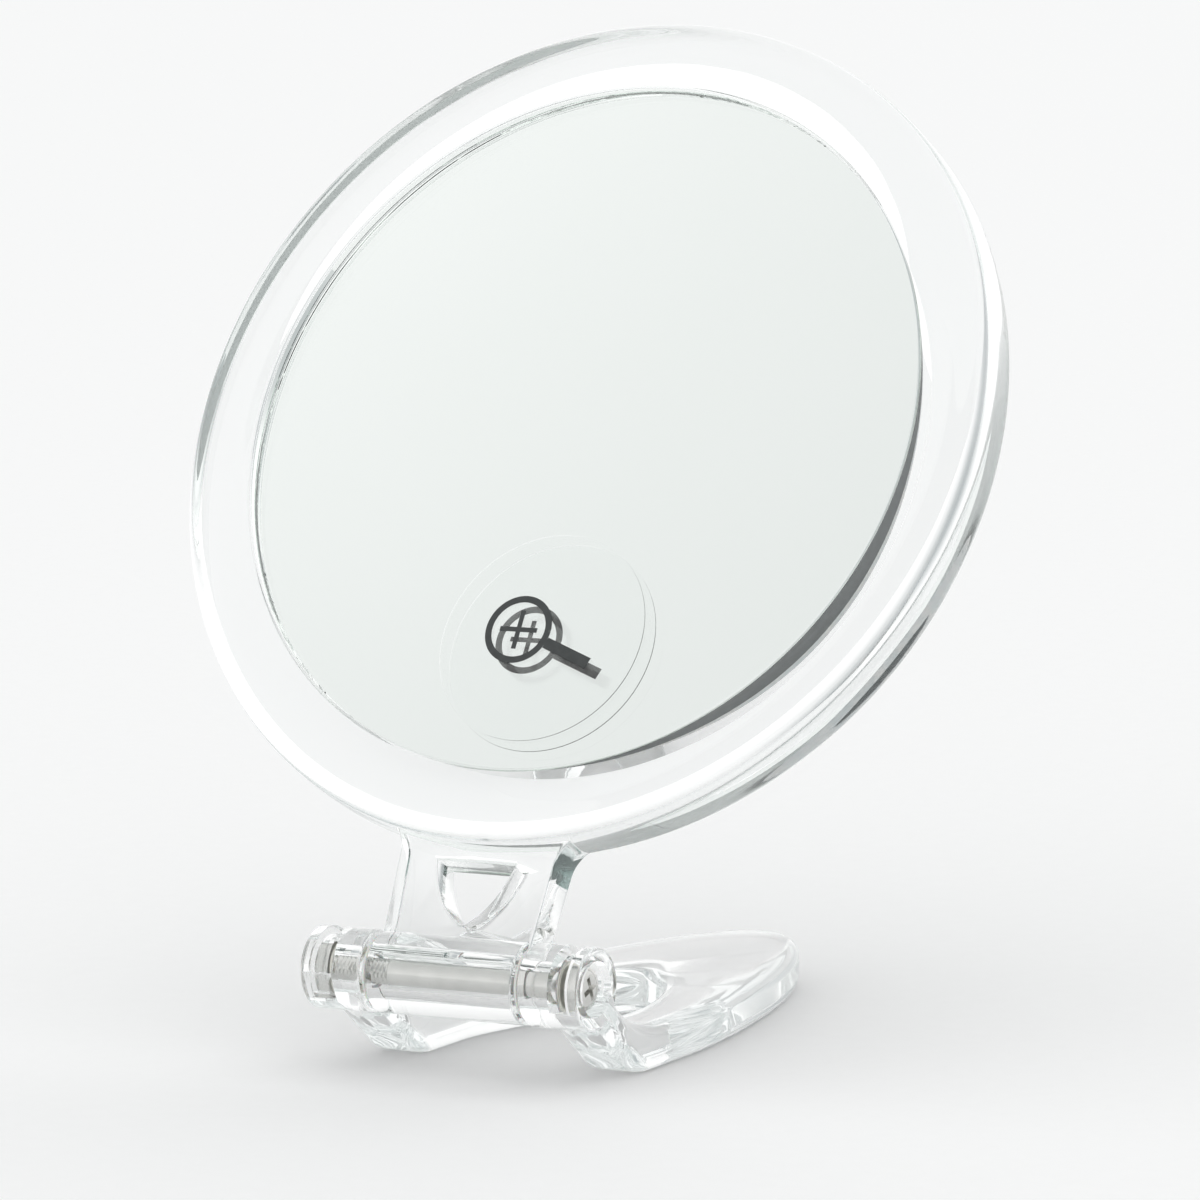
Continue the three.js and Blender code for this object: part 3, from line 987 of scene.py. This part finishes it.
def washers():
    """Two steel washers in the ears' pockets, and two of nylon beside the barrel."""
    seat, slip = POCKET_FLOOR + GAP, BARREL_HALF + GAP
    washer("head_washer", HEAD_WASHER_R, seat, WASHER_STEEL, "steel")
    washer("nut_washer", NUT_WASHER_R, -seat - WASHER_THICK, WASHER_STEEL, "steel")
    washer("right_friction_washer", FRICTION_WASHER_R, slip, NYLON, "nylon")
    washer("left_friction_washer", FRICTION_WASHER_R, -slip - WASHER_THICK, NYLON, "nylon")


def spacer():
    """The foam ring keeps its CAD shape, which only shows through the clear frame."""
    node = frame["nodes"]["mirror_spacer"]
    node.data.materials.clear()
    node.data.materials.append(FOAM)


# ---- Studio ------------------------------------------------------------------------------

CAMERA_AZIMUTH = 29.62  # degrees, from the -Y side towards +X
CAMERA_ELEVATION = 7.50
CAMERA_ROLL = -0.94
CAMERA_DISTANCE = 1.17988  # metres, as are the aim and the floor
CAMERA_AIM = Vector((0.00023, -0.00144, 0.06862))
CAMERA_LENS = 225  # focal length and sensor in millimetres
SENSOR_WIDTH = 36
FLOOR_HALF = 6
BRIGHT_WAY = (0.7071, 0, -0.7071)  # the room brightens to the right and downwards
DIM_ACROSS = -1.06  # its dim and its bright end, as shares of that way
BRIGHT_ACROSS = -0.39
DIM_COLOUR = (0.806, 0.82, 0.815)
BRIGHT_COLOUR = (1.12, 1.12, 1.12)
WALL_START = 0.68  # how far sideways a direction points where the side walls begin
WALL_END = 0.9
WALL_COLOUR = (0.5, 0.53, 0.54)


def camera():
    """A long lens, from the front and a little above, turned slightly round its axis."""
    data = bpy.data.cameras.new("camera")
    data.lens = CAMERA_LENS
    data.sensor_width = SENSOR_WIDTH
    data.clip_start = 0.01
    data.clip_end = 100
    piece = bpy.data.objects.new("camera", data)
    bpy.context.scene.collection.objects.link(piece)
    azimuth, elevation = math.radians(CAMERA_AZIMUTH), math.radians(CAMERA_ELEVATION)
    back = Vector((
        math.sin(azimuth) * math.cos(elevation),
        -math.cos(azimuth) * math.cos(elevation),
        math.sin(elevation),
    ))
    piece.location = CAMERA_AIM + back * CAMERA_DISTANCE
    upright = (-back).to_track_quat("-Z", "Y").to_matrix()
    roll = Matrix.Rotation(math.radians(CAMERA_ROLL), 3, "Z")
    piece.rotation_euler = (upright @ roll).to_euler()
    bpy.context.scene.camera = piece


def floor():
    """Pale paper under and behind the object."""
    h = FLOOR_HALF
    piece = mesh_from("floor", [(-h, -h, 0), (h, -h, 0), (h, h, 0), (-h, h, 0)], [(0, 1, 2, 3)])
    material, nodes, links, shader = new_material("floor_paper")
    grain = noise(nodes, links, 300, 3)
    coloured(nodes, links, grain, shader, (0.955, 0.955, 0.955), (0.98, 0.98, 0.98))
    shader.inputs["Roughness"].default_value = 0.9
    piece.data.materials.append(material)


def light_paths():
    """Clear plastic needs long paths, or its inner reflections end in black."""
    cycles = bpy.context.scene.cycles
    cycles.max_bounces = 80
    cycles.glossy_bounces = 72
    cycles.transmission_bounces = 80


def slope_of_light(nodes, links, direction):
    """The room's brightness from its upper left, dim, to its lower right."""
    across = nodes.new("ShaderNodeVectorMath")
    across.operation = "DOT_PRODUCT"
    across.inputs[1].default_value = BRIGHT_WAY
    links.new(direction, across.inputs[0])
    shade = step_between(nodes, links, across.outputs["Value"], DIM_ACROSS, BRIGHT_ACROSS)
    return tinted(nodes, links, shade, DIM_COLOUR, BRIGHT_COLOUR)


def side_walls(nodes, links, direction, room):
    """Darkens the room at its left and right."""
    split = nodes.new("ShaderNodeSeparateXYZ")
    links.new(direction, split.inputs["Vector"])
    sideways = nodes.new("ShaderNodeMath")
    sideways.operation = "ABSOLUTE"
    links.new(split.outputs["X"], sideways.inputs[0])
    wall = step_between(nodes, links, sideways.outputs["Value"], WALL_START, WALL_END)
    return tinted(nodes, links, wall, room, WALL_COLOUR)


def studio():
    """A white room, greyer to its upper left and at both sides, behind a white backdrop."""
    world = bpy.data.worlds.new("studio")
    bpy.context.scene.world = world
    world.use_nodes = True
    nodes, links = world.node_tree.nodes, world.node_tree.links
    direction = nodes.new("ShaderNodeTexCoord").outputs["Generated"]
    room = side_walls(nodes, links, direction, slope_of_light(nodes, links, direction))
    seen = nodes.new("ShaderNodeLightPath").outputs["Is Camera Ray"]
    light = tinted(nodes, links, seen, room, (1, 1, 1))
    links.new(light, nodes["Background"].inputs["Color"])
    bpy.context.scene.view_settings.view_transform = "Standard"


camera()
light_paths()
studio()
floor()
front_frame()
rear_rim()
magnifying_mirror()
plane_mirror()
spacer()
label_film()
label_print()
stand()
hinge_screw()
hinge_nut()
washers()
